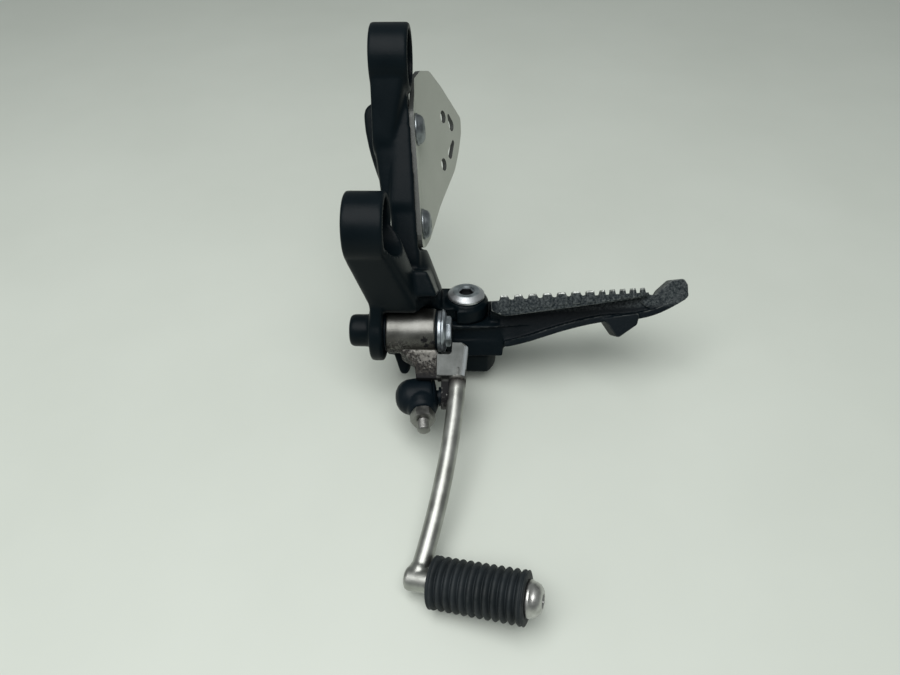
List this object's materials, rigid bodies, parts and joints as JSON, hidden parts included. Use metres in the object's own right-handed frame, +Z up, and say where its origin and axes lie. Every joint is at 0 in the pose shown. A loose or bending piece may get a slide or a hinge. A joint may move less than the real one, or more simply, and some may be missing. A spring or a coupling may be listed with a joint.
{
  "type": "rear sets footrest",
  "caption": "Cast footrest bracket with a folding toothed footpeg, a gear lever with a rubber toe piece and ball joint, and a flared heel guard plate.",
  "frame": {"origin": "on the axis of the lower mounting boss, in the middle of that boss's length", "axes": "+X outboard from the machine along the mounting bolts' axes; the assembly is posed as it stands on the floor in the picture, with +Z up from that floor, +Y towards the rear of the machine. On the machine it is turned 38 degrees about X, top forward."},
  "size_m": [0.1617, 0.2473, 0.1534],
  "materials": {
    "black_casting": "satin black coating on a cast aluminium bracket, with thin pale wear along the edges",
    "peg_casting": "satin black casting, its teeth worn grey",
    "guard_plate": "satin sheet",
    "zinc_bolts": "zinc plated",
    "pin_steel": "turned steel",
    "spring_steel": "dull spring steel",
    "lever_nickel": "plated steel, dull and stained with grease",
    "bush_bronze": "plain bearing bronze",
    "seal_rubber": "matt",
    "spindle_steel": "bare turned steel",
    "toe_rubber": "matt black rubber",
    "joint_steel": "black, greasy",
    "liner_plastic": "natural nylon",
    "boot_rubber": "soft black rubber",
    "nut_steel": "dull zinc"
  },
  "bodies": {
    "bracket_assembly": {"bracket": "black_casting", "heel_guard": "guard_plate", "heel_guard_bolts": "zinc_bolts", "peg_pivot_pin": "pin_steel", "peg_pin_clip": "spring_steel", "peg_return_spring": "spring_steel", "lever_pivot_sleeve": "pin_steel", "lever_pivot_bolt": "zinc_bolts", "lever_pivot_washer": "zinc_bolts", "lever_seal_inner": "seal_rubber", "lever_seal_outer": "seal_rubber"},
    "footpeg_body": {"footpeg": "peg_casting"},
    "gear_lever_body": {"gear_lever": "lever_nickel", "lever_bush_inner": "bush_bronze", "lever_bush_outer": "bush_bronze", "toe_spindle": "spindle_steel", "toe_rubber": "toe_rubber", "ball_stud": "pin_steel"},
    "ball_joint_body": {"ball_joint_housing": "joint_steel", "ball_joint_liner": "liner_plastic", "ball_joint_cap": "joint_steel", "ball_joint_boot": "boot_rubber", "lock_nut": "nut_steel"}
  },
  "joints": [
    {"name": "peg_fold", "type": "hinge", "parent": "bracket_assembly", "child": "footpeg_body", "pos_m": [0.0418, 0.01625, -0.05229], "axis": [0, 0.1736, 0.9848], "range_deg": [0, 70], "stiffness_Nm_per_rad": 0.25, "springref_deg": -28.65, "deforming": ["peg_return_spring"]},
    {"name": "lever_swing", "type": "hinge", "parent": "bracket_assembly", "child": "gear_lever_body", "pos_m": [0.0162, -0.00485, -0.05738], "axis": [1, 0, 0], "range_deg": [-30, 12]},
    {"name": "ball_swivel", "type": "hinge", "parent": "gear_lever_body", "child": "ball_joint_body", "pos_m": [0.0215, -0.03036, -0.07525], "axis": [1, 0, 0], "range_deg": [-30, 30]}
  ]
}
